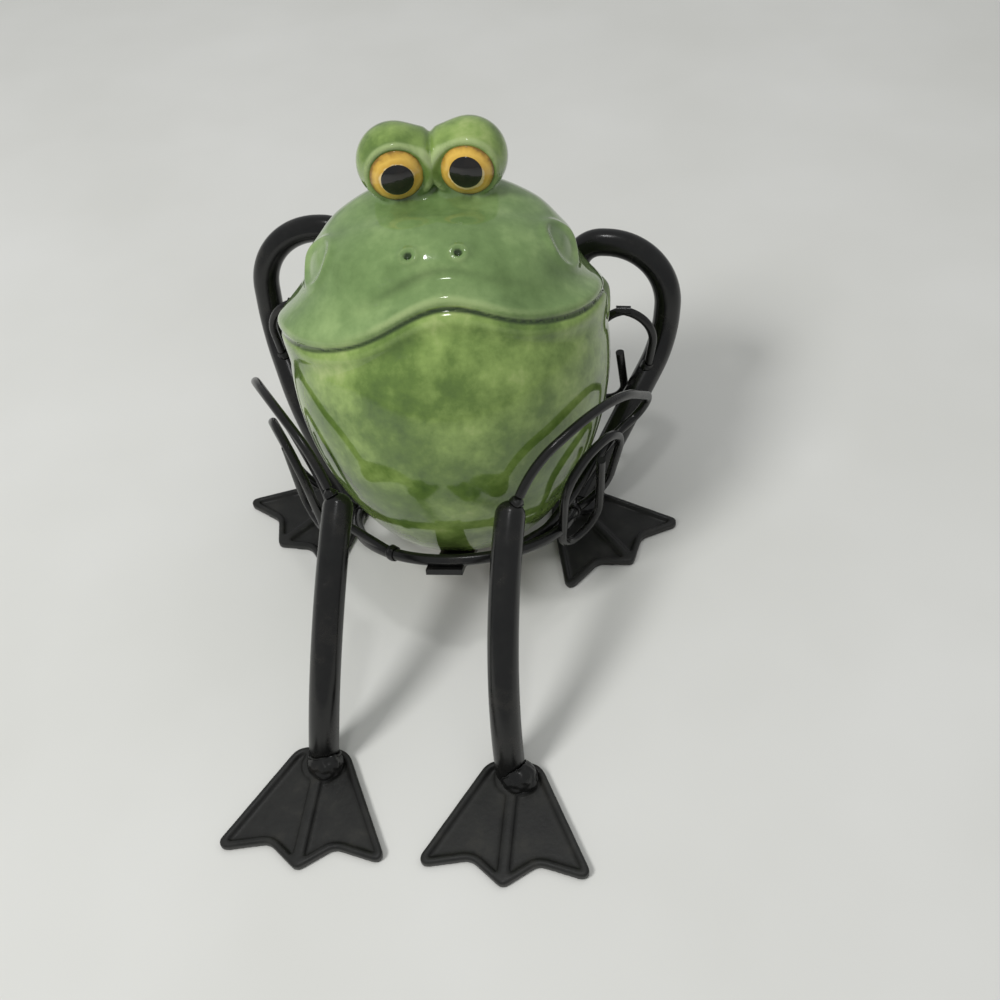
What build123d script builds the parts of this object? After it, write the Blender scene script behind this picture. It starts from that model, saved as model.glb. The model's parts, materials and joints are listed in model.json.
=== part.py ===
from build123d import *
import math
import os

# Sitting frog ornament: a hollow glazed casting resting in a frame of bent, painted steel rod and wire
# Millimetres, +Z up, the frog faces -Y; left and right are as seen from the front, so right is +X
# The working frame has Y = 0 at the middle of the casting; the last lines move everything so that the
# origin is the middle of the outline on the table

# Stock sizes
rod_d = 10.0
wire_d = 3.2
ring_wire_d = 4.0
strap_width = 12.5
strap_t = 2.0

# Casting, in its own upright frame with the origin in the middle of its round body
body_r = 55.0
equator_up = 16.5
body_drop = 73.5
body_rise = 46.0
base_up = -52.0
head_half_width = 56.5
head_r = 45.0
head_forward = 6.0
head_up = 27.0
mouth_mid_up = 41.0
mouth_corner_up = 29.0
mouth_half_width = 54.0
lip_round = 2.0
cheek_r = 14.0
cheek_reach = 57.5
cheek_forward = 4.0
cheek_up = 51.0
brow_r = 22.0
brow_half_width = 41.0
brow_forward = 9.0
brow_rise = 4.5
eye_r = 12.1
eye_x = 11.7
eye_forward = 13.0
eye_sink = 2.9
nostril_r = 2.8
nostril_x = 7.7
nostril_up = 57.0
wall = 5.0
head_wall = 12.0
vent_d = 12.0

# Seat: how the casting and the ring that holds it sit on the frame
seat_x = 3.5
seat_z = 66.0
lean_back = 24.7
tip_left = 4.2
face_turn = 9.9
ring_drop = 45.5
ring_gap = 8.1
seat_gap = 0.2
strap_flat = 46.0
strap_overhang = 3.0

# Pressed feet and hands share one stamping
foot_length = 42.0
foot_half_width = 28.4
foot_notch_x = 10.5
foot_notch_reach = 34.0
foot_side_reach = 38.0
foot_heel_half = 8.5
foot_sheet_t = 1.6
foot_rim_t = 3.0
foot_rim_width = 2.2
foot_rib_width = 3.4
toe_round = 2.3
notch_round = 5.0
heel_round = 6.5
ankle_inset = 6.0

# Where the limbs stand and how far they reach
foot_x = 32.3
foot_heel_y = -107.2
hand_x = 42.2
hand_heel_y = 10.6
hand_splay = 40.0
leg_top_x = 28.2
leg_top_reach = 1.6
leg_top_z = 64.0
leg_bow = 12.0
leg_bow_in = 1.6
thigh_lean_x = 7.8
thigh_lean_y = 8.4
thigh_rise = 16.0
arm_tilt = 2.0
curl_share = 0.45

# Weld beads
limb_bead_r = 6.6
wire_bead_r = 3.0
bead_shift = 2.2

# Ring angles of the welded wires, from the front
thigh_weld_angle = 29.0
curl_weld_angle = 90.0
arm_weld_angle = 150.0

SIDES = {"right": 1, "left": -1}


def cap_radius(width, height):
    """Radius of the round cap that gives an oval of this width and height a full, even curve."""
    return width * (width / height) ** 0.75


def flank_radius(width, height):
    """Radius of the side arc of an oval that meets its round cap without a corner."""
    cap_r = cap_radius(width, height)
    return (width**2 + (height - cap_r) ** 2 - cap_r**2) / (2 * (width - cap_r))


def body_radius(drop):
    """Radius of the round body at a distance below its widest circle, on its side arc or its round end."""
    cap_r = cap_radius(body_r, body_drop)
    flank_r = flank_radius(body_r, body_drop)
    meet = (body_drop - cap_r) * flank_r / (flank_r - cap_r)
    if drop < meet:
        return body_r - flank_r + math.sqrt(flank_r**2 - drop**2)
    return math.sqrt(cap_r**2 - (drop - body_drop + cap_r) ** 2)


ring_r = body_radius(equator_up + ring_drop) + ring_gap + ring_wire_d / 2
seat = Pos(seat_x, 0, seat_z) * Rot(0, -tip_left, 0) * Rot(-lean_back, 0, 0)


def ring_point(angle):
    """Middle of the ring's wire at an angle from the front, positive to the right."""
    turn = math.radians(angle)
    local = Pos(ring_r * math.sin(turn), -ring_r * math.cos(turn), -ring_drop)
    return (seat * local).position


def bent(corners, radii, diameter):
    """Round stock of one diameter bent along straight runs and arcs; the bends are in body radii."""
    path = FilletPolyline(*corners, radius=[radius * body_r for radius in radii])
    section = Plane(origin=path @ 0, z_dir=path % 0) * Circle(diameter / 2)
    return sweep(section, path=path)


def around(side, *corners):
    """Points round the casting: out and back in body radii, and up from the seat in drops of the ring."""
    return [Vector(side * x * body_r, y * body_r, seat_z + z * ring_drop) for x, y, z in corners]


# The casting


def oval_quarter(width, height, shrink):
    """Side arc and cap arc of an oval's lower right quarter, drawn in by a wall."""
    cap_r = cap_radius(width, height)
    flank_r = flank_radius(width, height)
    cap = Vector(0, cap_r - height)
    flank = Vector(width - flank_r, 0)
    meet = cap + (cap - flank) * ((cap_r - shrink) / (flank_r - cap_r))
    side_arc = TangentArc((width - shrink, 0), meet, tangent=(0, -1))
    return side_arc + TangentArc((0, shrink - height), meet, tangent=(1, 0))


def turned_oval(width, down, up, shrink):
    """Solid turned about Z from round arcs, widest at the origin."""
    lower = oval_quarter(width, down, shrink)
    upper = mirror(oval_quarter(width, up, shrink), about=Plane.XZ)
    outline = lower + upper + Line((0, shrink - down), (0, up - shrink))
    return revolve(Plane.XZ * make_face(outline.edges()), Axis.Z)


def round_body(shrink):
    """Egg-shaped body, drawn in by a wall."""
    return Pos(0, 0, equator_up) * turned_oval(body_r, body_drop, body_rise, shrink)


def lying_oval(radius, half_width, shrink):
    """Oval that is long from ear to ear."""
    return Rot(0, 90, 0) * turned_oval(radius, half_width, half_width, shrink)


def wide_head(shrink):
    """Head, drawn in by a wall."""
    return Pos(0, -head_forward, head_up) * lying_oval(head_r, head_half_width, shrink)


def upper_jaw():
    """Head above the mouth, whose line arches up in the middle, with a rounded lip and hollow cheeks."""
    rise = mouth_mid_up - mouth_corner_up
    arch_r = (mouth_half_width**2 + rise**2) / (2 * rise)
    below = Pos(0, 0, mouth_mid_up - arch_r) * Rot(90, 0, 0) * Cylinder(arch_r, 4 * head_half_width)
    jaw = wide_head(0) - below
    lip = jaw.faces().filter_by(GeomType.CYLINDER).edges()
    cheeks = Pos(0, -cheek_forward, cheek_up) * Torus(cheek_reach, cheek_r)
    return fillet(lip, lip_round) - cheeks


def casting():
    crown = head_up + head_r
    brow = Pos(0, -brow_forward, crown + brow_rise - brow_r) * lying_oval(brow_r, brow_half_width, 0)
    shape = round_body(0) + upper_jaw() + brow
    nostril_front = math.sqrt(head_r**2 - (nostril_up - head_up) ** 2) + head_forward
    for side in SIDES.values():
        shape += Pos(side * eye_x, -eye_forward, crown + eye_r - eye_sink) * Sphere(eye_r)
        shape += Pos(side * nostril_x, -nostril_front, nostril_up) * Sphere(nostril_r)
    hollow = round_body(wall) + wide_head(head_wall)
    floor = 2 * body_drop
    cut_off = Pos(0, 0, base_up - floor / 2) * Cylinder(2 * body_r, floor)
    hollow -= Pos(0, 0, wall) * cut_off
    vent = Pos(0, 0, base_up) * Cylinder(vent_d / 2, 3 * wall)
    return seat * Rot(0, 0, face_turn) * (shape - cut_off - hollow - vent)


# The cradle


def cradle_ring():
    return seat * Pos(0, 0, -ring_drop) * Torus(ring_r, ring_wire_d / 2)


def seat_strap():
    """Strip that dips under the casting's base and is welded below the ring, front and back."""
    top = base_up - seat_gap
    end = -ring_drop - ring_wire_d / 2
    reach = ring_r + strap_overhang
    shoulder = ring_r - strap_overhang
    front = [(-reach, end), (-shoulder, end), (-strap_flat / 2, top)]
    upper = front + [(-y, z) for y, z in reversed(front)]
    lower = [(y, z - strap_t) for y, z in reversed(upper)]
    profile = Plane.YZ * make_face(Polyline(*upper, *lower, close=True))
    return seat * extrude(profile, strap_width / 2, both=True)


# Feet and hands


def near_any(vertex, spots):
    return any((vertex.center() - spot).length < 0.01 for spot in spots)


def pressed_foot():
    """Webbed foot with its heel at the origin, toes towards -Y: sheet, raised rim, middle rib, heel pad."""
    half = [
        (foot_heel_half, 0),
        (foot_half_width, -foot_side_reach),
        (foot_notch_x, -foot_notch_reach),
    ]
    outline = half + [(0, -foot_length)] + [(-x, y) for x, y in reversed(half)]
    sole = make_face(Polyline(*outline, close=True))
    heels = [corner for corner in half if corner[1] == 0]
    notches = [corner for corner in half if corner[0] == foot_notch_x]
    toes = [corner for corner in half if corner[0] == foot_half_width] + [(0, -foot_length)]
    for points, radius in ((toes, toe_round), (notches, notch_round), (heels, heel_round)):
        spots = [Vector(sign * x, y) for x, y in points for sign in (1, -1)]
        sole = fillet([v for v in sole.vertices() if near_any(v, spots)], radius)
    foot = extrude(sole, foot_rim_t)
    panel = offset(sole, -foot_rim_width, kind=Kind.INTERSECTION)
    foot -= Pos(0, 0, foot_sheet_t) * extrude(panel, foot_rim_t)
    rib = Pos(0, -foot_length / 2, foot_rim_t / 2) * Box(foot_rib_width, foot_length, foot_rim_t)
    pad = Pos(0, -ankle_inset, foot_rim_t / 2) * Cylinder(rod_d / 2 + 1, foot_rim_t)
    return foot + ((rib + pad) & extrude(sole, foot_rim_t))


def foot_place(side):
    return Pos(side * foot_x, foot_heel_y, 0)


def hand_place(side):
    return Pos(side * hand_x, hand_heel_y, 0) * Rot(0, 0, side * hand_splay)


def ankle(place):
    return (place * Pos(0, -ankle_inset, foot_rim_t)).position


# Limbs


def leg_top(side):
    return Vector(side * leg_top_x, -body_r + leg_top_reach, leg_top_z)


def leg(side):
    """Rod from the foot, bowed up and a little inwards, with a domed upper end."""
    low = ankle(foot_place(side)) - Vector(0, 0, rod_d)
    high = leg_top(side)
    chord = high - low
    bow = Vector(0, -chord.Z, chord.Y).normalized() * leg_bow - Vector(side * leg_bow_in, 0, 0)
    path = ThreePointArc(low, (low + high) / 2 + bow, high)
    rod = sweep(Plane(origin=path @ 0, z_dir=path % 0) * Circle(rod_d / 2), path=path)
    rod += Pos(*high) * Sphere(rod_d / 2)
    return split(rod, Plane.XY.offset(foot_rim_t), keep=Keep.TOP)


def forearm(side):
    """Bends of the arm at the elbow and half-way down to the hand."""
    return around(side, (1.404, 0.882, -0.308), (1.145, 0.391, -0.659))


def arm(side):
    """Rod from the back of the ring, up behind the casting, over the shoulder and down to the hand."""
    shoulder = around(side, (0.782, 1.082, 0.549), (1.422, 1.064, 0.549))
    route = [ring_point(side * arm_weld_angle)] + around(side, (0.727, 0.9, -0.835))
    route += [corner - Vector(0, 0, side * arm_tilt) for corner in shoulder] + forearm(side)
    wrist = ankle(hand_place(side)) - Vector(0, 0, foot_rim_t)
    fall = (wrist - route[-1]).normalized()
    route.append(wrist + fall * rod_d)
    rod = bent(route, [0.545, 0.18, 0.43, 0.47, 0.72], rod_d)
    return split(rod, Plane.XY.offset(foot_rim_t), keep=Keep.TOP) - cradle_ring()


# Scroll wires


def weld_ball(angle):
    """Ball of weld metal on the ring, in which a wire ends."""
    return seat * Rot(0, 0, angle) * Pos(0, -ring_r, -ring_drop) * Rot(0, 90, 0) * Sphere(wire_bead_r)


def thigh_lean(side):
    """Way the thigh loop leaves the domed top of the leg, as far as its first bend."""
    return Vector(side * thigh_lean_x, thigh_lean_y, thigh_rise)


def knee_ball(side):
    """Ball of weld metal on the leg's domed top, in which the thigh loop begins."""
    lean = thigh_lean(side).normalized()
    return Pos(*(leg_top(side) + lean * (rod_d / 2))) * Sphere(wire_bead_r)


def thigh_loop(side):
    """Hairpin from the top of the leg, round the casting's flank and back to the front of the ring."""
    start = leg_top(side)
    hairpin = around(side, (1.082, -0.356, 0.473), (1.364, 0.255, -0.242))
    under = around(side, (1.055, -0.1, -0.319), (0.855, -0.309, -0.659), (0.691, -0.609, -0.692))
    route = [start, start + thigh_lean(side)] + hairpin + under + [ring_point(side * thigh_weld_angle)]
    wire = bent(route, [0.44, 0.72, 0.127, 0.45, 0.32, 0.36], wire_d)
    wire = wire - leg(side) - knee_ball(side)
    return wire - weld_ball(side * thigh_weld_angle) - cradle_ring()


def side_curl(side):
    """Scroll that rises from the side of the ring and curls in on itself."""
    turn = around(side, (1.045, -0.155, -0.813), (1.173, -0.155, 0), (0.818, -0.673, 0))
    inner = around(side, (0.782, -0.591, -0.967), (1.009, -0.291, -1), (1.016, -0.342, -0.244))
    wire = bent([ring_point(side * curl_weld_angle)] + turn + inner, [0.215, 0.27, 0.27, 0.18, 0.16], wire_d)
    return wire - weld_ball(side * curl_weld_angle) - cradle_ring()


def back_curl_start(side):
    """Point on the arm's middle line, part of the way from the elbow to the next bend."""
    elbow, bend = forearm(side)
    return elbow + (bend - elbow) * curl_share


def back_curl(side):
    """Scroll that rises from the arm and curls in beside the casting's back."""
    start = back_curl_start(side)
    back = start.Y / body_r
    turn = around(side, (1.345, back, 0.22), (0.945, back, 0.22), (0.945, back, -0.725))
    inner = around(side, (1.164, back, -0.791), (1.1, back, -0.22))
    return bent([start] + turn + inner, [0.255, 0.215, 0.127, 0.127], wire_d) - arm(side)


# Weld beads


def bead(place, radius, *around):
    """Rounded lump of weld metal that fits the pieces it joins."""
    lump = place * Sphere(radius)
    for piece in around:
        lump -= piece
    return lump


def limb_bead(place, rod):
    """Lump on one side of the joint between a rod and its pressed foot or hand."""
    lump = bead(Pos(*ankle(place)) * Pos(bead_shift, 0, 0), limb_bead_r, rod)
    return split(lump, Plane.XY.offset(foot_rim_t), keep=Keep.TOP)


# Build and export

parts = {"frog_casting": casting(), "cradle_ring": cradle_ring(), "seat_strap": seat_strap()}
ring = parts["cradle_ring"]
beads = {"ankle": [], "wrist": [], "knee": [], "ring": [], "curl": []}
for name, side in SIDES.items():
    rod = leg(side)
    limb = arm(side)
    thigh = thigh_loop(side)
    flank = side_curl(side)
    back = back_curl(side)
    parts[f"{name}_foot"] = foot_place(side) * pressed_foot()
    parts[f"{name}_hand"] = hand_place(side) * pressed_foot()
    parts[f"{name}_leg"] = rod
    parts[f"{name}_arm"] = limb
    parts[f"{name}_thigh_loop"] = thigh
    parts[f"{name}_side_curl"] = flank
    parts[f"{name}_back_curl"] = back
    beads["ankle"].append(limb_bead(foot_place(side), rod))
    beads["wrist"].append(limb_bead(hand_place(side), limb))
    beads["knee"].append(knee_ball(side) - rod)
    beads["ring"].append(weld_ball(side * thigh_weld_angle) - ring)
    beads["ring"].append(weld_ball(side * curl_weld_angle) - ring)
    beads["ring"].append(bead(Pos(*ring_point(side * arm_weld_angle)), limb_bead_r, ring, limb))
    curl_foot = Pos(*back_curl_start(side)) * Pos(0, 0, rod_d / 2)
    beads["curl"].append(bead(curl_foot, wire_bead_r, limb, back))
for joint, lumps in beads.items():
    parts[f"{joint}_welds"] = Compound([solid for lump in lumps for solid in lump.solids()])

outline = Compound(list(parts.values())).bounding_box()
to_origin = Pos(-outline.center().X, -outline.center().Y, -outline.min.Z)
os.makedirs("parts", exist_ok=True)
for node, shape in parts.items():
    export_step(to_origin * shape, f"parts/{node}.step")
print("moved by", to_origin.position, "size", outline.size)
print("seat", (to_origin * seat).position, "axis", (seat * Pos(0, 0, 1)).position - seat.position)
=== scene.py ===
import json
import math

import bpy
import numpy as np
from mathutils import Matrix, Vector


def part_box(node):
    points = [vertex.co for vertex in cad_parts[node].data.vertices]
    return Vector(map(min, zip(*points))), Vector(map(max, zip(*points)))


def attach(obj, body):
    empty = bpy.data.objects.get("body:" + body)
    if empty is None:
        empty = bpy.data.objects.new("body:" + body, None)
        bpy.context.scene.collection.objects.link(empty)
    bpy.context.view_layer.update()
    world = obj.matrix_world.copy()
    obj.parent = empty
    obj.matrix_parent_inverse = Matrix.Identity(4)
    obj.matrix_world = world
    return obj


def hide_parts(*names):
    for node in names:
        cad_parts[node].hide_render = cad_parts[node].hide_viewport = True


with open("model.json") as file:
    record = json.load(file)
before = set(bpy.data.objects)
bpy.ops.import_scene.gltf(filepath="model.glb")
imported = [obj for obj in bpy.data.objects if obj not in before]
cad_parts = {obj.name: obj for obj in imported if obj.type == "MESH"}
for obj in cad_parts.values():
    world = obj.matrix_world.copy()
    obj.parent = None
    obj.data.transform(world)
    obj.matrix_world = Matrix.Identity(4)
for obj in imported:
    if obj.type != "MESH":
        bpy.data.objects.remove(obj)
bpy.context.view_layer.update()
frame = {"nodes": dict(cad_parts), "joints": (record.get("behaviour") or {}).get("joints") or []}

# Sitting frog ornament: a glossy green glazed frog in a frame of bent steel rod and wire painted satin black
# Lengths are in millimetres and are turned to metres where they meet Blender

MM = 0.001
NODES = frame["nodes"]
SIDES = {"right": 1, "left": -1}

# The casting's own upright frame: origin in the middle of the round body, the frog faces -Y
ring_drop = 45.5
lean_back = 24.7
tip_left = 4.2
face_turn = 9.9

# Casting sizes, as in the solid
body_r = 55.0
equator_up = 16.5
body_drop = 73.5
body_rise = 46.0
base_up = -52.0
vent_r = 6.0
head_half_width = 56.5
head_r = 45.0
head_forward = 6.0
head_up = 27.0
eye_r = 12.1
eye_x = 11.7
eye_forward = 13.0
eye_up = 81.2

# The skin has no hollow behind it, so the vent ends as a blind hole
vent_depth = 6.0
vent_round = 1.0
base_round = 2.0

# Cheeks and brow, a little softer than in the solid
cheek_r = 12.4
cheek_reach = 57.5
cheek_forward = 4.0
cheek_up = 51.0
cheek_blend = 6.0
brow_r = 22.0
brow_half_width = 38.0
brow_forward = 3.0
brow_up = 54.5
brow_blend = 5.0

# Mouth line across the face, and where the face ends behind it
mouth_up = 31.5
mouth_peak = 10.2
mouth_peak_width = 21.0
mouth_slant = 0.06
mouth_corner_x = 38.0
mouth_corner_lift = 0.012
mouth_back = -5.0
face_fade_back = 10.0
face_fade_front = 12.0

# Jaw and lips: up and down are from the mouth line, spread is how far a form reaches to each side
jaw_back_slope = 1.4
jaw_round = 2.6
jaw_blend = 1.0
jaw_blend_back = 6.0
lower_lip_inset = 0.5
lower_lip_fall = 0.09
lower_lip_bend = 1.6
lower_lip_back = 9.0
lower_lip_round = 2.2
lower_lip_blend = 5.0
lips_meet_x = 52.0
lips_part_x = 42.0
groove_depth = 0.5
groove_width = 0.75
lip_crest_up = 3.2
lip_crest_width = 2.0
lip_crest_height = 0.5
lip_crest_middle = 1.2
lip_crest_spread = 34.0
lip_crease_up = 8.6
lip_crease_width = 2.3
lip_crease_depth = 1.9
lip_crease_spread = 26.0
lower_crest_down = 3.0
lower_crest_width = 1.7
lower_crest_height = 0.6
lower_crease_down = 7.4
lower_crease_width = 2.2
lower_crease_depth = 0.35

# Nostrils: a mound with a rim round a pit
nostril_x = 7.5
nostril_shift = -1.2
nostril_up = 56.4
nostril_mound = 0.9
nostril_mound_r = 3.4
nostril_rim = 0.5
nostril_rim_r = 2.3
nostril_rim_width = 1.1
nostril_pit = 2.4
nostril_pit_r = 1.15

# Ears: a low ring round a shallow dish
ear_spot = (39.5, -20.5, 53.8)
ear_r = 8.2
ear_rim = 0.75
ear_rim_width = 1.5
ear_dish = 0.45
ear_dish_slope = 4.0

# Eyes: angles in degrees, measured from the way the eye looks where nothing else is said
gaze_down = 25.0
gaze_toe_in = 7.0
gaze_turn = -1.0
iris_half_angle = 45.0
pupil_half_angle = 25.0
pupil_rise = {"right": 4.5, "left": 0.0}
lid_height = 0.8
lid_lower_share = 0.35
lid_lower_end = -6.0
lid_upper_start = 8.0
lid_past_iris = 7.0
lid_width = 5.5
iris_sunk = 1.5
iris_sunk_outside = 2.5
iris_sunk_inside = 1.5
iris_sunk_far = 16.0
iris_sunk_near = 14.0
iris_under_eye = 0.3
pupil_under_eye = 0.12
disc_edge_drop = 1.2
between_eyes_blend = 12.0
between_eyes_groove = 0.8
between_eyes_width = 1.3
eye_root_blend = 2.0
under_eye_depth = 3.0
under_eye_forward = 20.0
under_eye_up = 69.0
under_eye_r = 7.0
under_eye_stretch = 2.6

# Darker colour in the nostrils and along the mouth, as pooled glaze and painted shade, and how soon the
# face's colour starts above it
nostril_pool_and_shade = 0.6
nostril_pool_and_shade_r = 1.2
mouth_pool_and_shade = 0.28
mouth_pool_and_shade_width = 0.95
mouth_pool_and_shade_end_x = 57.0
mouth_pool_and_shade_full_x = 52.0
face_colour_start = -0.5
face_colour_full = 3.5

# Finish of the meshes
skin_voxel = 0.86
skin_rounds = 14
skin_exact_rounds = 4
skin_largest_step = 1.5
# Rounds that spread the hollow measure behind the pooled-glaze colour, with painted shade in hollows and
# painted highlight on edges
pool_shade_highlight_rounds = 6
foot_voxel = 0.45
foot_rounds = 14
weld_voxel = 0.35
weld_rounds = 14
weld_lumps = 1.8
weld_lump_size = 3.4
weld_lump_level = 0.85
merge_gap = 0.01


def casting_matrix():
    """Place of the casting's own frame, from the ring that holds it and the way it lifts out."""
    low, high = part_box("cradle_ring")
    axis = Vector(frame["joints"][0]["axis"]).normalized()
    origin = (low + high) / 2 + axis * ring_drop * MM
    turn = Matrix.Rotation(math.radians(-tip_left), 4, "Y")
    turn = turn @ Matrix.Rotation(math.radians(-lean_back), 4, "X")
    turn = turn @ Matrix.Rotation(math.radians(face_turn), 4, "Z")
    return Matrix.Translation(origin) @ turn


CASTING = casting_matrix()


# Mesh helpers


def deselect_all():
    if bpy.context.object and bpy.context.object.mode != "OBJECT":
        bpy.ops.object.mode_set(mode="OBJECT")
    bpy.ops.object.select_all(action="DESELECT")


def make_active(obj):
    deselect_all()
    obj.select_set(True)
    bpy.context.view_layer.objects.active = obj


def apply_modifier(obj, kind, **settings):
    make_active(obj)
    modifier = obj.modifiers.new(kind.lower(), kind)
    for name, value in settings.items():
        setattr(modifier, name, value)
    bpy.ops.object.modifier_apply(modifier=modifier.name)


def join(objs, name):
    make_active(objs[0])
    for obj in objs[1:]:
        obj.select_set(True)
    bpy.ops.object.join()
    objs[0].name = name
    return objs[0]


def points(obj):
    co = np.empty(len(obj.data.vertices) * 3)
    obj.data.vertices.foreach_get("co", co)
    return co.reshape(-1, 3)


def set_points(obj, co):
    obj.data.vertices.foreach_set("co", np.ascontiguousarray(co, dtype=np.float32).ravel())
    obj.data.update()


def place(obj, matrix):
    """Moves a mesh made in millimetres in its own frame to its place in metres."""
    obj.data.transform(matrix @ Matrix.Scale(MM, 4))
    obj.data.update()


def write_attribute(obj, name, values):
    attribute = obj.data.attributes.new(name, "FLOAT", "POINT")
    attribute.data.foreach_set("value", values.astype(np.float32))


def smooth_shade(obj):
    make_active(obj)
    bpy.ops.object.shade_smooth()


def select_faces(obj, test):
    """Selects the faces whose centre passes a test, in edit mode's face select."""
    make_active(obj)
    bpy.ops.object.mode_set(mode="EDIT")
    bpy.ops.mesh.select_mode(type="FACE")
    bpy.ops.mesh.select_all(action="DESELECT")
    bpy.ops.object.mode_set(mode="OBJECT")
    for face in obj.data.polygons:
        face.select = bool(test(face.center))
    bpy.ops.object.mode_set(mode="EDIT")


# Shape of the glazed skin, as a signed distance in the casting's frame


def smooth_union(a, b, blend):
    h = np.clip(0.5 + 0.5 * (b - a) / blend, 0, 1)
    return b * (1 - h) + a * h - blend * h * (1 - h)


def smooth_cut(a, b, blend):
    return -smooth_union(-a, -b, blend)


def ease(low, high, value):
    t = np.clip((value - low) / (high - low), 0, 1)
    return t * t * (3 - 2 * t)


def bump(value, width):
    return np.exp(-((value / width) ** 2))


def oval(out, along, width, height):
    """Distance to an oval of a side arc and a round cap, turned about its long direction."""
    cap_r = width * (width / height) ** 0.75
    flank_r = (width**2 + (height - cap_r) ** 2 - cap_r**2) / (2 * (width - cap_r))
    sign = 1 if flank_r > cap_r else -1
    meet = math.atan2(sign * (height - cap_r), sign * (flank_r - width))
    angle = np.arctan2(along, out - width + flank_r)
    flank = np.hypot(out - width + flank_r, along) - flank_r
    cap = np.hypot(out, along - height + cap_r) - cap_r
    return np.where(angle < meet, flank, cap)


def mouth_line(x):
    """Height of the mouth across the face: a peak in the middle, and corners that turn up."""
    peak = mouth_peak * bump(x, mouth_peak_width)
    corner = mouth_corner_lift * np.maximum(np.abs(x) - mouth_corner_x, 0) ** 2
    return mouth_up + peak + corner + mouth_slant * x


def round_body(p):
    out = np.hypot(p[:, 0], p[:, 1])
    along = p[:, 2] - equator_up
    lower = oval(out, -along, body_r, body_drop)
    upper = oval(out, along, body_r, body_rise)
    return np.where(along < 0, lower, upper)


def wide_head(p):
    """Head that is long from ear to ear, with a hollow round each cheek above the lip."""
    out = np.hypot(p[:, 1] + head_forward, p[:, 2] - head_up)
    head = oval(out, np.abs(p[:, 0]), head_r, head_half_width)
    round_face = np.hypot(p[:, 0], p[:, 1] + cheek_forward) - cheek_reach
    return smooth_cut(head, cheek_r - np.hypot(round_face, p[:, 2] - cheek_up), cheek_blend)


def brow(p):
    out = np.hypot(p[:, 1] + brow_forward, p[:, 2] - brow_up)
    return oval(out, np.abs(p[:, 0]), brow_r, brow_half_width)


def head_front(x, up):
    """Y of the head's front surface."""
    flat = np.clip(1 - (x / head_half_width) ** 2 - ((up - head_up) / head_r) ** 2, 0, 1)
    return -head_forward - head_r * math.sqrt(flat)


def nostril_spot(side):
    x = side * nostril_x + nostril_shift
    return np.array([x, head_front(x, nostril_up), nostril_up])


def gaze(side, rise=0.0):
    """Way an eye looks in the casting's frame, or a little above it."""
    down = math.radians(gaze_down - rise)
    across = math.radians(gaze_turn - side * gaze_toe_in)
    return np.array([math.sin(across) * math.cos(down), -math.cos(across) * math.cos(down), -math.sin(down)])


def eye_middle(side):
    return np.array([side * eye_x, -eye_forward, eye_up])


def eye_skin(p, side):
    """Distance to an eyeball whose lid stands proud, and how far its face is sunk for the iris."""
    arm = p - eye_middle(side)
    reach = np.linalg.norm(arm, axis=1)
    angle = np.degrees(np.arccos(np.clip(arm @ gaze(side) / np.maximum(reach, 1e-6), -1, 1)))
    above = lid_lower_share + (1 - lid_lower_share) * ease(lid_lower_end, lid_upper_start, arm[:, 2])
    lid = lid_height * above * bump(angle - iris_half_angle - lid_past_iris, lid_width)
    on_iris = ease(iris_half_angle + iris_sunk_outside, iris_half_angle - iris_sunk_inside, angle)
    sunk = iris_sunk * on_iris * ease(iris_sunk_far, iris_sunk_near, reach)
    return reach - eye_r - lid, sunk


def above_mouth(p):
    """Height over the mouth line, and how far a point belongs to the front of the face."""
    front = ease(mouth_back + face_fade_back, mouth_back - face_fade_front, p[:, 1])
    return p[:, 2] - mouth_line(p[:, 0]), front


def jaws(p):
    """Body with the upper jaw over the lower lip."""
    over, front = above_mouth(p)
    head = wide_head(p)
    jaw_edge = -over - jaw_back_slope * np.maximum(p[:, 1] - mouth_back, 0)
    jaw = smooth_cut(head, jaw_edge, jaw_round)
    fall = lower_lip_fall * np.maximum(-over, 0) ** lower_lip_bend
    lip = head + lower_lip_inset + fall + lower_lip_back * (1 - front)
    lip = smooth_cut(lip, over, lower_lip_round)
    shape = smooth_union(round_body(p), lip, lower_lip_blend)
    return smooth_union(shape, jaw, jaw_blend + jaw_blend_back * (1 - front))


def lip_relief(p):
    """How far the lips' crests stand out from the jaws, less their creases and the line between them."""
    x = p[:, 0]
    over, front = above_mouth(p)
    parted = front * ease(lips_meet_x, lips_part_x, np.abs(x))
    crest = lip_crest_height + lip_crest_middle * bump(x, lip_crest_spread)
    crease = lip_crease_depth * bump(x, lip_crease_spread)
    relief = front * crest * bump(over - lip_crest_up, lip_crest_width)
    relief -= front * crease * bump(over - lip_crease_up, lip_crease_width)
    relief -= parted * groove_depth * bump(over, groove_width)
    relief += parted * lower_crest_height * bump(over + lower_crest_down, lower_crest_width)
    return relief - parted * lower_crease_depth * bump(over + lower_crease_down, lower_crease_width)


def nostril_and_ear_relief(p, side):
    away = np.linalg.norm(p - nostril_spot(side), axis=1)
    relief = nostril_mound * bump(away, nostril_mound_r)
    relief += nostril_rim * bump(away - nostril_rim_r, nostril_rim_width)
    relief -= nostril_pit * bump(away, nostril_pit_r)
    away = np.linalg.norm(p - np.array(ear_spot) * (side, 1, 1), axis=1)
    relief += ear_rim * bump(away - ear_r, ear_rim_width)
    return relief - ear_dish * ease(ear_r, ear_r - ear_dish_slope, away)


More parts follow.
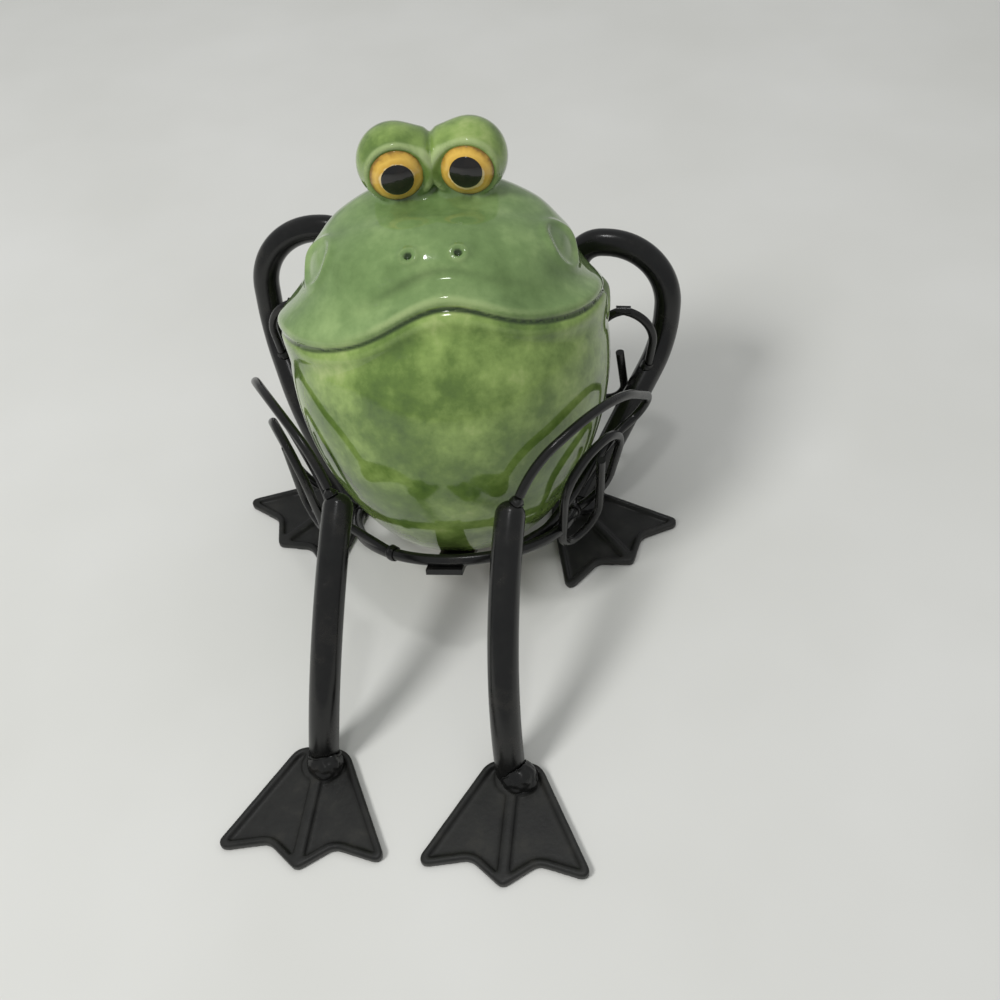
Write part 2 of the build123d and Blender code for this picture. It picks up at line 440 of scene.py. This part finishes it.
def skin(p):
    """Signed distance to the glazed surface, in millimetres."""
    x, y, up = p.T
    shape = smooth_union(jaws(p) - lip_relief(p), brow(p), brow_blend)
    under_eyes = np.hypot(np.hypot(x / under_eye_stretch, y + under_eye_forward), up - under_eye_up)
    shape += under_eye_depth * bump(under_eyes, under_eye_r)
    for side in SIDES.values():
        shape -= nostril_and_ear_relief(p, side)
    right_eye, right_sunk = eye_skin(p, 1)
    left_eye, left_sunk = eye_skin(p, -1)
    eyes = smooth_union(right_eye, left_eye, between_eyes_blend) + right_sunk + left_sunk
    eyes += between_eyes_groove * bump(x, between_eyes_width)
    shape = smooth_union(shape, eyes, eye_root_blend)
    shape = smooth_cut(shape, base_up - up, base_round)
    vent = np.maximum(np.hypot(x, y) - vent_r, up - base_up - vent_depth)
    return smooth_cut(shape, -vent, vent_round)


def slope(p, step=0.04):
    """Gradient of the skin's distance, which points out of it."""
    rows = []
    for axis in range(3):
        shift = np.zeros(3)
        shift[axis] = step
        rows.append((skin(p + shift) - skin(p - shift)) / (2 * step))
    return np.stack(rows, axis=1)


def neighbour_mean(co, edges, counts):
    total = np.zeros_like(co)
    np.add.at(total, edges[:, 0], co[edges[:, 1]])
    np.add.at(total, edges[:, 1], co[edges[:, 0]])
    return total / counts


def settle(obj):
    """Draws a mesh onto the glazed skin, evening out its points, and gives how hollow each point is."""
    co = points(obj)
    edges = np.empty(len(obj.data.edges) * 2, dtype=np.int64)
    obj.data.edges.foreach_get("vertices", edges)
    edges = edges.reshape(-1, 2)
    counts = np.bincount(edges.ravel(), minlength=len(co)).astype(float).reshape(-1, 1)
    for step in range(skin_rounds):
        if step < skin_rounds - skin_exact_rounds:
            co = 0.5 * co + 0.5 * neighbour_mean(co, edges, counts)
        grad = slope(co)
        size = np.maximum((grad**2).sum(axis=1, keepdims=True), 0.2)
        move = np.clip(skin(co).reshape(-1, 1) / size, -skin_largest_step, skin_largest_step)
        co = co - move * grad
    set_points(obj, co)
    normal = slope(co)
    normal /= np.maximum(np.linalg.norm(normal, axis=1, keepdims=True), 1e-6)
    hollow = ((neighbour_mean(co, edges, counts) - co) * normal).sum(axis=1, keepdims=True)
    for step in range(pool_shade_highlight_rounds):
        hollow = 0.4 * hollow + 0.6 * neighbour_mean(hollow, edges, counts)
    return hollow.ravel() / skin_voxel


def ball(radius, middle, segments=96, rings=64):
    deselect_all()
    bpy.ops.mesh.primitive_uv_sphere_add(segments=segments, ring_count=rings, radius=radius, location=middle)
    bpy.ops.object.transform_apply(location=True, rotation=False, scale=False)
    return bpy.context.object


def glazed_frog():
    """Body, head and eyes as one skin of clay under glaze."""
    body = ball(body_r, (0, 0, equator_up))
    for test, stretch in ((-1, body_drop / body_r), (1, body_rise / body_r)):
        select_faces(body, lambda middle: (middle.z - equator_up) * test > 0)
        bpy.ops.transform.resize(value=(1, 1, stretch), center_override=(0, 0, equator_up))
        bpy.ops.object.mode_set(mode="OBJECT")
    make_active(body)
    bpy.ops.object.mode_set(mode="EDIT")
    bpy.ops.mesh.select_all(action="SELECT")
    bpy.ops.mesh.bisect(plane_co=(0, 0, base_up), plane_no=(0, 0, 1), use_fill=True, clear_inner=True)
    bpy.ops.object.mode_set(mode="OBJECT")
    deselect_all()
    bpy.ops.mesh.primitive_cylinder_add(radius=vent_r, depth=2 * vent_depth, location=(0, 0, base_up))
    drill = bpy.context.object
    apply_modifier(body, "BOOLEAN", operation="DIFFERENCE", object=drill, solver="EXACT")
    bpy.data.objects.remove(drill)
    head = ball(head_r, (0, -head_forward, head_up))
    make_active(head)
    bpy.ops.object.mode_set(mode="EDIT")
    bpy.ops.mesh.select_all(action="SELECT")
    bpy.ops.transform.resize(value=(head_half_width / head_r, 1, 1), center_override=(0, 0, 0))
    bpy.ops.object.mode_set(mode="OBJECT")
    eyes = [ball(eye_r, eye_middle(side), 48, 32) for side in SIDES.values()]
    frog = join([body, head] + eyes, "frog_skin")
    apply_modifier(frog, "REMESH", mode="VOXEL", voxel_size=skin_voxel)
    hollow = settle(frog)
    spots = points(frog)
    over, front = above_mouth(spots)
    # Extra darkening in the nostril pits and along the mouth groove: pooled glaze with painted shade
    for side in SIDES.values():
        hollow += nostril_pool_and_shade * bump(np.linalg.norm(spots - nostril_spot(side), axis=1), nostril_pool_and_shade_r)
    along = ease(mouth_pool_and_shade_end_x, mouth_pool_and_shade_full_x, np.abs(spots[:, 0]))
    hollow += mouth_pool_and_shade * front * along * bump(over, mouth_pool_and_shade_width)
    # Hollows turn dark and edges pale: pooled and thinned glaze, with painted shade in hollows and painted
    # highlight on edges
    write_attribute(frog, "glaze_pool_shade_and_highlight", hollow)
    write_attribute(frog, "face", ease(face_colour_start, face_colour_full, over))
    place(frog, CASTING)
    smooth_shade(frog)
    return frog


def eye_cap(side, half_angle, radius, direction, name):
    """Slightly domed painted disc on an eye, with its edge turned in under the lid."""
    cap = ball(radius, (0, 0, 0), 96, 72)
    limit = radius * math.cos(math.radians(half_angle))
    select_faces(cap, lambda middle: middle.z < limit)
    bpy.ops.mesh.delete(type="FACE")
    bpy.ops.mesh.select_all(action="SELECT")
    bpy.ops.mesh.region_to_loop()
    bpy.ops.mesh.extrude_region_move(TRANSFORM_OT_translate={"value": (0, 0, -disc_edge_drop)})
    bpy.ops.object.mode_set(mode="OBJECT")
    cap.name = name
    co = points(cap)
    angle = np.degrees(np.arctan2(np.hypot(co[:, 0], co[:, 1]), co[:, 2]))
    write_attribute(cap, "from_middle", angle / half_angle)
    aim = Vector(direction).to_track_quat("Z", "Y").to_matrix().to_4x4()
    place(cap, CASTING @ Matrix.Translation(eye_middle(side) * MM) @ aim)
    smooth_shade(cap)
    return cap


def softened(node, voxel, rounds, name, lumps=0.0):
    """Copy of a CAD node with its edges rounded as pressing or welding leaves them."""
    piece = NODES[node].copy()
    piece.data = NODES[node].data.copy()
    piece.parent = None
    for key in list(piece.keys()):
        del piece[key]
    bpy.context.scene.collection.objects.link(piece)
    piece.name = name
    make_active(piece)
    bpy.ops.object.mode_set(mode="EDIT")
    bpy.ops.mesh.select_all(action="SELECT")
    bpy.ops.mesh.remove_doubles(threshold=merge_gap * MM)
    bpy.ops.object.mode_set(mode="OBJECT")
    apply_modifier(piece, "REMESH", mode="VOXEL", voxel_size=voxel * MM)
    if lumps:
        texture = bpy.data.textures.new("weld_lumps", "CLOUDS")
        texture.noise_scale = weld_lump_size * MM
        apply_modifier(
            piece,
            "DISPLACE",
            texture=texture,
            strength=lumps * MM,
            mid_level=weld_lump_level,
            texture_coords="LOCAL",
        )
    apply_modifier(piece, "SMOOTH", factor=0.5, iterations=rounds)
    smooth_shade(piece)
    return piece


# Materials


def linear(hex_colour):
    """Linear RGBA of an sRGB hex colour."""
    channels = [int(hex_colour[i : i + 2], 16) / 255 for i in (1, 3, 5)]
    return [c / 12.92 if c <= 0.04045 else ((c + 0.055) / 1.055) ** 2.4 for c in channels] + [1.0]


def new_material(name):
    material = bpy.data.materials.new(name)
    material.use_nodes = True
    material.node_tree.nodes.clear()
    return material


def add(material, kind, settings=None, **inputs):
    """Adds a node with its settings and colour stops; an input is a value, or a (node, output) to link."""
    node = material.node_tree.nodes.new(kind)
    settings = dict(settings or {})
    for i, (at, colour) in enumerate(settings.pop("stops", [])):
        elements = node.color_ramp.elements
        stop = elements[i] if i < len(elements) else elements.new(at)
        stop.position = at
        stop.color = linear(colour)
    for name, value in settings.items():
        setattr(node, name, value)
    for name, value in inputs.items():
        key = int(name[1:]) if name[0] == "_" else name.replace("_", " ")
        if isinstance(value, tuple) and isinstance(value[0], bpy.types.Node):
            material.node_tree.links.new(value[0].outputs[value[1]], node.inputs[key])
        else:
            node.inputs[key].default_value = value
    return node


def finish_material(material, shader):
    output = add(material, "ShaderNodeOutputMaterial")
    material.node_tree.links.new(shader.outputs["BSDF"], output.inputs["Surface"])
    return material


SOFT = {"interpolation_type": "SMOOTHSTEP"}
COLOUR = {"data_type": "RGBA"}


def green_glaze():
    """Green glaze over earthenware: cool on the face, warm and cloudy on the belly and the eyes, dark in
    hollows as pooled glaze with painted shade, pale over edges as thinned glaze with painted highlight, with
    a mirror gloss and a bare clay foot."""
    material = new_material("green_glazed_earthenware")
    coords = add(material, "ShaderNodeTexCoord")
    own = add(
        material,
        "ShaderNodeMapping",
        {"vector_type": "TEXTURE"},
        Vector=(coords, "Object"),
        Location=CASTING.to_translation(),
        Rotation=CASTING.to_euler(),
    )
    spot = (own, "Vector")
    cloud = add(material, "ShaderNodeTexNoise", Vector=spot, Scale=1 / (26 * MM), Detail=4.0, Roughness=0.6)
    mottle = add(material, "ShaderNodeTexNoise", Vector=spot, Scale=1 / (8 * MM), Detail=5.0, Roughness=0.65)
    speck = add(material, "ShaderNodeTexNoise", Vector=spot, Scale=1 / (1.8 * MM), Detail=3.0)
    spread = add(
        material, "ShaderNodeMath", {"operation": "MULTIPLY_ADD"}, _0=(mottle, "Fac"), _1=0.5, _2=-0.25
    )
    tone = add(material, "ShaderNodeMath", {"operation": "ADD"}, _0=(cloud, "Fac"), _1=(spread, "Value"))
    cool = add(
        material,
        "ShaderNodeValToRGB",
        {"stops": [(0.25, "#58713f"), (0.5, "#6f8953"), (0.75, "#8ca46a")]},
        Fac=(tone, "Value"),
    )
    warm = add(
        material,
        "ShaderNodeValToRGB",
        {"stops": [(0.25, "#425a2a"), (0.45, "#607938"), (0.62, "#849c53"), (0.8, "#a6b573")]},
        Fac=(tone, "Value"),
    )
    parts = add(material, "ShaderNodeSeparateXYZ", Vector=spot)
    face = add(material, "ShaderNodeAttribute", {"attribute_name": "face"})
    below_eyes = add(
        material, "ShaderNodeMapRange", SOFT, Value=(parts, "Z"), From_Min=78 * MM, From_Max=70 * MM
    )
    cool_part = add(
        material, "ShaderNodeMath", {"operation": "MULTIPLY"}, _0=(face, "Fac"), _1=(below_eyes, "Result")
    )
    by_part = (cool_part, "Value")
    mixed = add(material, "ShaderNodeMix", COLOUR, _0=by_part, _6=(warm, "Color"), _7=(cool, "Color"))
    # Hollow measure of the mesh, plus the nostrils and mouth line, drives pooled-glaze colour with painted
    # shade and painted highlight
    pool_shade_and_highlight = add(material, "ShaderNodeAttribute", {"attribute_name": "glaze_pool_shade_and_highlight"})
    thin_glaze_and_highlight = add(material, "ShaderNodeMapRange", SOFT, Value=(pool_shade_and_highlight, "Fac"), From_Min=-0.025, From_Max=-0.15)
    deep_glaze_and_shade = add(material, "ShaderNodeMapRange", SOFT, Value=(pool_shade_and_highlight, "Fac"), From_Min=0.05, From_Max=0.36)
    # Pale on edges: thinned glaze with a painted highlight
    pale = add(material, "ShaderNodeMix", COLOUR, _0=(thin_glaze_and_highlight, "Result"), _6=(mixed, 2), _7=linear("#a3b47c"))
    # Dark in hollows: pooled glaze with painted shade
    dark = add(material, "ShaderNodeMix", COLOUR, _0=(deep_glaze_and_shade, "Result"), _6=(pale, 2), _7=linear("#26381a"))
    bare = add(
        material,
        "ShaderNodeMapRange",
        Value=(parts, "Z"),
        From_Min=(base_up + 0.6) * MM,
        From_Max=(base_up + 0.3) * MM,
    )
    clay = add(
        material, "ShaderNodeValToRGB", {"stops": [(0.3, "#c9b79a"), (0.7, "#e0d3bb")]}, Fac=(speck, "Fac")
    )
    colour = add(material, "ShaderNodeMix", COLOUR, _0=(bare, "Result"), _6=(dark, 2), _7=(clay, "Color"))
    rough = add(material, "ShaderNodeMapRange", Value=(bare, "Result"), To_Min=0.1, To_Max=0.75)
    ripple = add(material, "ShaderNodeBump", Height=(mottle, "Fac"), Strength=0.12, Distance=0.25 * MM)
    shader = add(
        material,
        "ShaderNodeBsdfPrincipled",
        Base_Color=(colour, 2),
        Roughness=(rough, "Result"),
        Normal=(ripple, "Normal"),
        IOR=1.5,
        Coat_Weight=0.4,
        Coat_Roughness=0.04,
    )
    return finish_material(material, shader)


def iris_enamel():
    """Ochre underglaze brushed in a ring, cream round the pupil and brown at the rim, under clear glaze."""
    material = new_material("ochre_underglaze")
    coords = add(material, "ShaderNodeTexCoord")
    brush = add(material, "ShaderNodeTexNoise", Vector=(coords, "Object"), Scale=1 / (3.2 * MM), Detail=4.0)
    middle = add(material, "ShaderNodeAttribute", {"attribute_name": "from_middle"})
    wobble = add(
        material, "ShaderNodeMath", {"operation": "MULTIPLY_ADD"}, _0=(brush, "Fac"), _1=0.36, _2=-0.18
    )
    at = add(material, "ShaderNodeMath", {"operation": "ADD"}, _0=(middle, "Fac"), _1=(wobble, "Value"))
    stops = [(0.56, "#e6cf95"), (0.62, "#d0a443"), (0.78, "#dfb753"), (0.9, "#c59c40"), (1.0, "#82632a")]
    paint = add(material, "ShaderNodeValToRGB", {"stops": stops}, Fac=(at, "Value"))
    shader = add(
        material,
        "ShaderNodeBsdfPrincipled",
        Base_Color=(paint, "Color"),
        Roughness=0.12,
        IOR=1.5,
        Coat_Weight=0.4,
        Coat_Roughness=0.04,
    )
    return finish_material(material, shader)


def pupil_enamel():
    """Black underglaze under clear glaze, faintly brown where the brush thinned."""
    material = new_material("black_underglaze")
    coords = add(material, "ShaderNodeTexCoord")
    brush = add(material, "ShaderNodeTexNoise", Vector=(coords, "Object"), Scale=1 / (2.5 * MM), Detail=3.0)
    paint = add(
        material, "ShaderNodeValToRGB", {"stops": [(0.35, "#0c0b0b"), (0.75, "#1d1815")]}, Fac=(brush, "Fac")
    )
    shader = add(
        material,
        "ShaderNodeBsdfPrincipled",
        Base_Color=(paint, "Color"),
        Roughness=0.12,
        IOR=1.5,
        Coat_Weight=0.4,
        Coat_Roughness=0.04,
    )
    return finish_material(material, shader)


def black_paint(name, shades, grain, rough, strength):
    """Satin black paint on mild steel: soft highlights, slight orange peel, brown-grey where handled."""
    material = new_material(name)
    coords = add(material, "ShaderNodeTexCoord")
    spot = (coords, "Object")
    wear = add(material, "ShaderNodeTexNoise", Vector=spot, Scale=1 / (9 * MM), Detail=5.0, Roughness=0.65)
    peel = add(material, "ShaderNodeTexNoise", Vector=spot, Scale=1 / (grain * MM), Detail=4.0)
    stops = list(zip((0.3, 0.55, 0.78), shades))
    paint = add(material, "ShaderNodeValToRGB", {"stops": stops}, Fac=(wear, "Fac"))
    worn = add(
        material,
        "ShaderNodeMapRange",
        Value=(wear, "Fac"),
        From_Min=0.3,
        From_Max=0.75,
        To_Min=rough[0],
        To_Max=rough[1],
    )
    ripple = add(material, "ShaderNodeBump", Height=(peel, "Fac"), Strength=strength, Distance=0.2 * MM)
    shader = add(
        material,
        "ShaderNodeBsdfPrincipled",
        Base_Color=(paint, "Color"),
        Roughness=(worn, "Result"),
        Normal=(ripple, "Normal"),
        IOR=1.5,
    )
    return finish_material(material, shader)


def table_top():
    """Plain pale painted board."""
    material = new_material("pale_painted_board")
    coords = add(material, "ShaderNodeTexCoord")
    haze = add(material, "ShaderNodeTexNoise", Vector=(coords, "Object"), Scale=1 / (120 * MM), Detail=3.0)
    tone = add(
        material, "ShaderNodeValToRGB", {"stops": [(0.3, "#cfcfca"), (0.7, "#d6d6d2")]}, Fac=(haze, "Fac")
    )
    shader = add(material, "ShaderNodeBsdfPrincipled", Base_Color=(tone, "Color"), Roughness=0.55)
    return finish_material(material, shader)


def dress(obj, material):
    if obj.material_slots:
        for slot in obj.material_slots:
            slot.material = material
    else:
        obj.data.materials.append(material)


# The object

glaze = green_glaze()
iris_paint = iris_enamel()
pupil_paint = pupil_enamel()
bar_shades = ("#0b0b0b", "#131312", "#24221f")
sheet_shades = ("#151514", "#20201e", "#31302c")
rod_paint = black_paint("satin_black_paint_on_bar", bar_shades, grain=2.2, rough=(0.17, 0.32), strength=0.12)
pressed_paint = black_paint(
    "satin_black_paint_on_sheet", sheet_shades, grain=1.6, rough=(0.36, 0.58), strength=0.35
)
weld_paint = black_paint("satin_black_paint_on_weld", bar_shades, grain=1.2, rough=(0.24, 0.4), strength=0.3)

for node, obj in NODES.items():
    dress(obj, rod_paint)

frog = glazed_frog()
dress(frog, glaze)
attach(frog, "frog")
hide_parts("frog_casting")
for name, side in SIDES.items():
    iris = eye_cap(side, iris_half_angle, eye_r - iris_under_eye, gaze(side), f"{name}_iris")
    dress(iris, iris_paint)
    pupil_gaze = gaze(side, pupil_rise[name])
    pupil = eye_cap(side, pupil_half_angle, eye_r - pupil_under_eye, pupil_gaze, f"{name}_pupil")
    dress(pupil, pupil_paint)
    for piece in (iris, pupil):
        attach(piece, "frog")
    for limb in ("foot", "hand"):
        pressed = softened(f"{name}_{limb}", foot_voxel, foot_rounds, f"{name}_{limb}_pressing")
        dress(pressed, pressed_paint)
        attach(pressed, "frame")
        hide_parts(f"{name}_{limb}")
for joint in ("ankle", "wrist", "knee", "ring", "curl"):
    lump = softened(f"{joint}_welds", weld_voxel, weld_rounds, f"{joint}_weld_beads", weld_lumps)
    dress(lump, weld_paint)
    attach(lump, "frame")
    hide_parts(f"{joint}_welds")

# Floor, light and camera

deselect_all()
bpy.ops.mesh.primitive_plane_add(size=6, location=(0, 0, 0))
floor = bpy.context.object
floor.name = "floor"
dress(floor, table_top())


def softbox(name, spot, target, size, power, mirrored=True):
    """Round light that faces a target; one that isn't mirrored leaves no patch on the gloss."""
    deselect_all()
    bpy.ops.object.light_add(type="AREA", location=spot)
    light = bpy.context.object
    light.name = name
    light.data.shape = "DISK"
    light.data.size = size
    light.data.energy = power
    light.visible_glossy = mirrored
    light.rotation_euler = (Vector(target) - Vector(spot)).to_track_quat("-Z", "Y").to_euler()


middle = (0, 0, 0.08)
softbox("key", (-0.7, -0.6, 1.15), middle, size=0.4, power=13, mirrored=False)
softbox("overhead", (0.3, 0.3, 1.8), middle, size=2.6, power=8, mirrored=False)
softbox("lamp", (0.0, 0.1, 1.7), middle, size=0.16, power=2.5)

world = bpy.data.worlds.new("studio")
world.use_nodes = True
world.node_tree.nodes["Background"].inputs["Color"].default_value = linear("#d9dbdc")
world.node_tree.nodes["Background"].inputs["Strength"].default_value = 0.5
bpy.context.scene.world = world
bpy.context.scene.view_settings.view_transform = "Standard"

# Camera of the photograph: its place in millimetres, the way it looks and the way to its right
camera_spot = (62.0, -230.6, 324.3)
camera_look = Vector((-0.1088, 0.6515, -0.7508))
camera_right = Vector((0.9931, 0.1050, -0.0528))
camera_lens = 38.52
camera = bpy.data.objects.new("camera", bpy.data.cameras.new("camera"))
bpy.context.scene.collection.objects.link(camera)
upright = camera_right.cross(camera_look)
turn = Matrix((camera_right, upright, -camera_look)).transposed()
camera.matrix_world = Matrix.Translation(Vector(camera_spot) * MM) @ turn.to_4x4()
camera.data.lens = camera_lens
camera.data.sensor_width = 36
camera.data.clip_start = 0.01
bpy.context.scene.camera = camera
